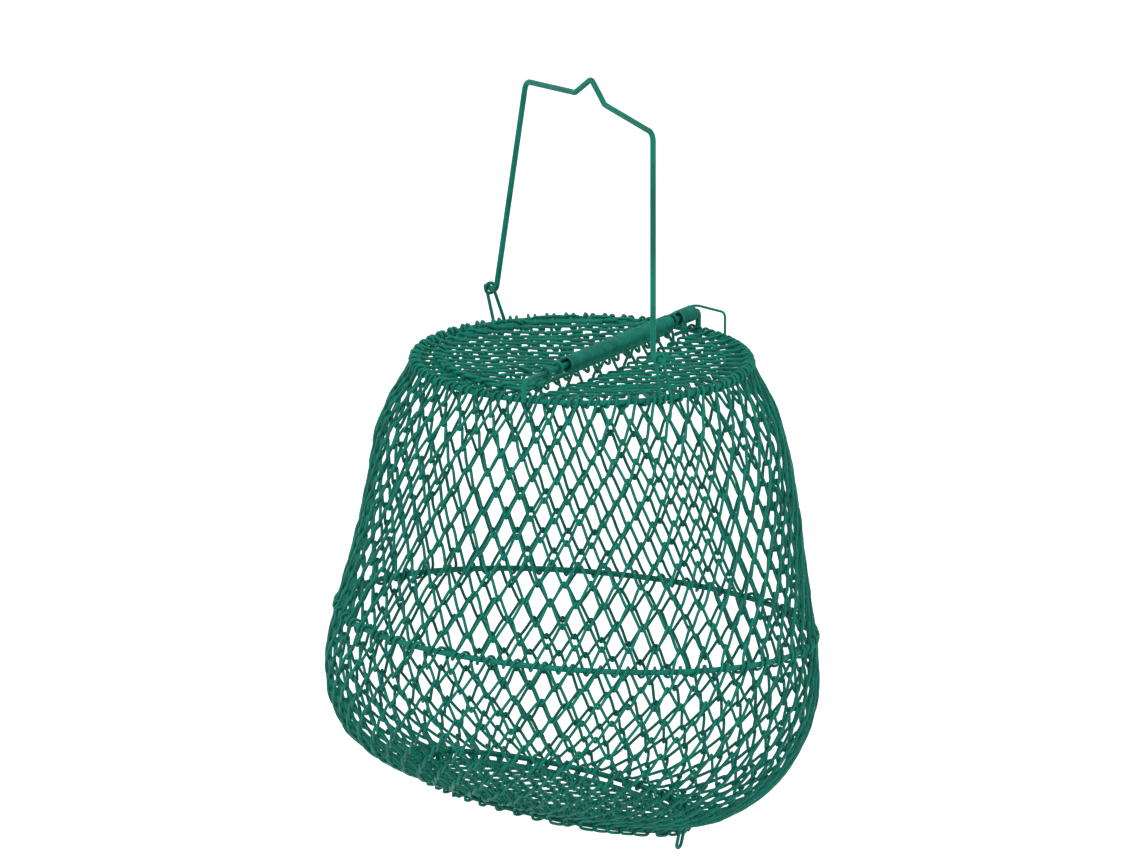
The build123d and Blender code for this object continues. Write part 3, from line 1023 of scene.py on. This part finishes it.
@dataclass
class FlatNets:
    """The flat nets of the lid, the top's fixed part and the door, and the rim of the mouth."""

    sizes: BasketSizes
    shop: Workshop
    rim_wrap: float = 0.0033  # middle line of a wire from the middle of the hoop that it wraps
    rim_slack: float = 0.3
    lace: float = 0.0028  # the same, for a net laced to its frame
    fixed_edge: float = 0.001  # how far the fixed net's edge stays inside the lid's radius
    bar_room: float = 0.003  # between the hinge bar's middle and the fixed net
    loop_room: float = 0.4  # part of a loop that counts as one more on each side of a row
    top_sag: float = 0.004
    lid_sag: float = 0.002
    door_sag: float = 0.003

    @property
    def loop_width(self) -> float:
        """The width of one loop, as at the top hoop."""
        return self.sizes.loop_step * self.sizes.top_radius

    def lay(
        self, body: str, span: tuple, reach: float, sag: float, grips: tuple, place: Matrix
    ) -> None:
        """Knits one flat net in its own plane, sets it in its place and lets it ride on its body.

        Args:
            body: the body, which also names the net.
            span: the first and the last border of its rows.
            reach: the radius of its round edge.
            sag: how far its middle hangs.
            grips: the offsets of the wires at its first, last and round borders, 0 where free.
            place: its place in the basket.
        """
        sizes, shop, hook = self.sizes, self.shop, self.sizes.row_hook / 2
        start, width = span[0], span[1] - span[0]
        count = max(1, round(width / sizes.flat_pitch))
        meshes = []
        for row in range(count):
            near, far = (start + width * border / count for border in (row, row + 1))
            near_grip = grips[0] if row == 0 else 0
            far_grip = grips[1] if row == count - 1 else 0
            widest = min(abs(near), abs(far)) if near * far > 0 else 0.0
            half = math.sqrt(max(reach**2 - widest**2, 0.0))
            values = {
                "Wire radius": sizes.mesh_wire / 2,
                "Loops": max(2, 2 * int(half / self.loop_width + self.loop_room) + 1),
                "Loop width": self.loop_width,
                "Phase": 0.5 * (row % 2),
                "Near bend": near - (near_grip or hook),
                "Far bend": far + (far_grip or hook),
                "Near grip": near_grip or sizes.hook_offset,
                "Far grip": far_grip or sizes.hook_offset,
                "Frame radius": reach,
                "Frame grip": grips[2],
                "Sag": sag,
            }
            mesh = shop.flat_row.grow("flat_row", shop.finishes[Coat.NET], values)
            mesh.transform(place)
            meshes.append(mesh)
        net = shop.piece(f"{body}_net_wires", meshes, Coat.NET, (f"{body}_net",))
        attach(net, body)

    def build(self) -> None:
        """Makes the rim and the flat nets, and lets each ride on its body."""
        sizes, shop, lace = self.sizes, self.shop, self.lace
        level, hinge = sizes.level_of("top_hoop"), sizes.hinge_frame()
        outer = Vector((sizes.top_radius + self.rim_wrap, 0, level))
        inner = Vector((sizes.lid_radius, 0, level))
        values = {
            **sizes.ring_row(outer, (outer + inner) / 2, inner, sizes.top_hang),
            "First bend": 0.0,
            "Upper grip": self.rim_wrap,
            "Upper slack": 0.0,
            "Lower slack": self.rim_slack,
            "Upper lean": 1.0,
            "Lower lean": 1.0,
        }
        rim = shop.ring_row.grow("rim", shop.finishes[Coat.NET], values)
        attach(shop.piece("mouth_rim_wire", [rim], Coat.NET, ("rim_net",)), "top")

        span = (sizes.hinge_offset + self.bar_room, sizes.lid_radius)
        inset = self.fixed_edge
        self.lay("top", span, sizes.lid_radius - inset, self.top_sag, (0, 0, inset), hinge)

        span = (sizes.lid_chord - sizes.hinge_offset, sizes.lid_radius)
        lift = Matrix.Translation((0, 0, sizes.lid_height))
        other_side = Matrix.Rotation(math.pi, 4, "Z")
        place = hinge @ lift @ other_side
        self.lay("lid", span, sizes.lid_radius, self.lid_sag, (lace, 0, lace), place)

        reach = sizes.door_radius
        turn = Matrix.Rotation(math.radians(sizes.door_hinge_angle), 4, "Z")
        place = sizes.bottom_frame() @ Matrix.Translation((0, 0, -sizes.door_drop)) @ turn
        self.lay("door", (-reach, reach), reach, self.door_sag, (lace, lace, lace), place)


@dataclass
class LidSpring:
    """The coil spring round the hinge bar, with its arched leg on the hoop."""

    sizes: BasketSizes
    shop: Workshop
    coil_radius: float = 0.0048
    turn_pitch: float = 0.00186
    spans: tuple = ((-0.108, -0.088), (-0.076, 0.062))
    bridge_lap: float = 0.002  # of the bridge over the end of each coil
    arch_height: float = 0.0185
    arch_reach: float = 0.0054
    arch_angle: float = 94.0
    bend: float = 0.0036
    hook_bend: float = 0.0028

    def build(self) -> None:
        """Winds the coils, bends the legs and lets them ride."""
        sizes, shop = self.sizes, self.shop
        bar, rim = sizes.bar_frame(), sizes.top_hang.frame(sizes.level_of("top_hoop"))
        radius = sizes.spring_wire / 2
        meshes = []
        lay = Matrix.Rotation(math.pi / 2, 4, "Y")
        for start, end in self.spans:
            values = {
                "Wire radius": radius,
                "Turns": round((end - start) / self.turn_pitch * 2) / 2 + 0.5,
                "Coil radius": self.coil_radius,
                "Length": end - start,
            }
            coil = shop.coil.grow("coil", shop.finishes[Coat.SPRING], values)
            coil.transform(bar @ Matrix.Translation((start, 0, 0)) @ lay)
            meshes.append(coil)
        (first, gap_start), (gap_end, _) = self.spans
        laps = (gap_start - self.bridge_lap, gap_end + self.bridge_lap)
        bridge = [bar @ Vector((x, 0, self.coil_radius)) for x in laps]
        reach, height = first - self.arch_reach, self.arch_height - sizes.hinge_height
        on_bar = [(first + sizes.spring_wire, self.coil_radius), (reach, height)]
        turn = math.radians(self.arch_angle)
        hook = sizes.top_radius + sizes.hoop_wire / 2 + radius
        under = -sizes.hoop_wire / 2 - radius
        on_rim = [(hook, self.arch_height), (hook, under), (hook - sizes.hoop_wire, under)]
        arch = [bar @ Vector((x, 0, z)) for x, z in on_bar]
        arch += [rim @ Vector((r * math.cos(turn), r * math.sin(turn), z)) for r, z in on_rim]
        meshes.append(shop.wire(bridge, [], radius, Coat.SPRING))
        meshes.append(shop.wire(arch, [self.bend, self.bend, self.hook_bend], radius, Coat.SPRING))
        spring = shop.piece("lid_spring_wire", meshes, Coat.SPRING, ("lid_spring",))
        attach(spring, "top")


# ---- studio ----


@dataclass(frozen=True)
class Sun:
    """A soft sun: its strength, then in degrees its width, azimuth from the camera's and height."""

    strength: float
    softness: float
    azimuth: float
    rise: float


@dataclass
class Studio:
    """A white floor, level light, and the camera."""

    azimuth: float = 60.0
    elevation: float = 12.0
    roll: float = 4.0
    distance: float = 20.0
    view_width: float = 0.789
    clip: tuple = (0.05, 200.0)
    aim_side: float = -0.0042
    aim_up: float = 0.1332
    floor_drop: float = 0.26
    floor_size: float = 60.0
    floor_shade: float = 0.85
    floor_glow: float = 0.45
    key: Sun = Sun(1.3, 25.0, -35.0, 48.0)
    fill: Sun = Sun(0.5, 40.0, 60.0, 25.0)
    sky_strength: float = 0.67

    @staticmethod
    def heading(azimuth: float, rise: float) -> Vector:
        """Finds a direction away from the basket.

        Args:
            azimuth: in degrees, 0 towards -Y and 90 towards +X.
            rise: in degrees above the horizon.

        Returns:
            The direction.
        """
        turn, up = math.radians(azimuth), math.radians(rise)
        side, out = math.sin(turn) * math.cos(up), -math.cos(turn) * math.cos(up)
        return Vector((side, out, math.sin(up)))

    def camera(self, middle: Vector) -> None:
        """Sets the camera on the middle hoop's side of the basket.

        Args:
            middle: the middle hoop's middle.
        """
        turn, roll = math.radians(self.azimuth), math.radians(self.roll)
        back = self.heading(self.azimuth, self.elevation)
        right = Vector((math.cos(turn), math.sin(turn), 0))
        up = back.cross(right)
        rolled = right * math.cos(roll) + up * math.sin(roll)
        right, up = rolled, up * math.cos(roll) - right * math.sin(roll)
        eye = middle + back * self.distance
        ahead = (middle + right * self.aim_side + up * self.aim_up - eye).normalized()
        right = ahead.cross(up).normalized()
        up = right.cross(ahead)
        data = bpy.data.cameras.new("camera")
        data.lens = data.sensor_width * self.distance / self.view_width
        data.clip_start, data.clip_end = self.clip
        camera = add_object("camera", data)
        camera.matrix_world = Matrix((right, up, -ahead)).transposed().to_4x4()
        camera.location = eye
        bpy.context.scene.camera = camera

    @staticmethod
    def _seen_directly(graph: Graph) -> Signal:
        """1 for rays that show a backdrop: camera, glossy and transmission rays."""
        path = graph.node("ShaderNodeLightPath")
        names = ("Is Camera Ray", "Is Glossy Ray", "Is Transmission Ray")
        direct, glossy, through = (Signal(graph, path.outputs[name]) for name in names)
        return direct.math("MAXIMUM", direct, glossy.math("MAXIMUM", glossy, through))

    def _sky(self) -> None:
        """Lights the scene from all round, and shows white behind it."""
        world = bpy.data.worlds.new("sky")
        bpy.context.scene.world = world
        graph = Graph.of(world)
        strength = graph.blend(self._seen_directly(graph), self.sky_strength, 1.0)
        inputs = {"Color": (1, 1, 1, 1), "Strength": strength}
        glow = graph.take("ShaderNodeBackground", None, inputs)
        graph.node("ShaderNodeOutputWorld", None, {"Surface": glow})

    def _floor(self) -> None:
        """Lays a white floor below the hanging basket."""
        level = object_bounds()[0].z - self.floor_drop
        half = self.floor_size / 2
        mesh = bpy.data.meshes.new("floor")
        sides = ((-1, -1), (1, -1), (1, 1), (-1, 1))
        mesh.from_pydata([(half * x, half * y, level) for x, y in sides], [], [(0, 1, 2, 3)])
        material = bpy.data.materials.new("white_floor")
        graph = Graph.of(material)
        color = (self.floor_shade, self.floor_shade, self.floor_shade, 1)
        matte = graph.take("ShaderNodeBsdfDiffuse", None, {"Color": color})
        strength = self._seen_directly(graph) * self.floor_glow
        glow = graph.take("ShaderNodeEmission", None, {"Strength": strength})
        both = graph.take("ShaderNodeAddShader", None, {0: matte, 1: glow})
        graph.node("ShaderNodeOutputMaterial", None, {"Surface": both})
        mesh.materials.append(material)
        add_object("floor", mesh)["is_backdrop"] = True

    def _sun(self, name: str, sun: Sun) -> None:
        """Adds one sun."""
        data = bpy.data.lights.new(name, "SUN")
        data.energy, data.angle = sun.strength, math.radians(sun.softness)
        lamp = add_object(name, data)
        source = self.heading(self.azimuth + sun.azimuth, sun.rise)
        lamp.rotation_mode = "QUATERNION"
        lamp.rotation_quaternion = source.to_track_quat("Z", "Y")

    def build(self, middle: Vector) -> None:
        """Builds the studio round the basket.

        Args:
            middle: the middle hoop's middle.
        """
        bpy.context.scene.view_settings.view_transform = "Standard"
        self._sky()
        self._floor()
        self._sun("key", self.key)
        self._sun("fill", self.fill)
        self.camera(middle)


# ---- the whole ----


def main() -> None:
    """Loads the frame, dresses it and sets the studio."""
    logging.basicConfig(level=logging.INFO)
    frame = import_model()
    sizes = BasketSizes()
    shop = Workshop(sizes.axis_offset)
    for name, node in frame["nodes"].items():
        shop.coat_node(node, Coat.of_node(name))
    BodyNet(sizes, shop).build(frame["joints"])
    FlatNets(sizes, shop).build()
    LidSpring(sizes, shop).build()
    Studio().build(Vector((0, sizes.axis_offset, sizes.level_of("middle_hoop"))))


if __name__ == "__main__":
    main()
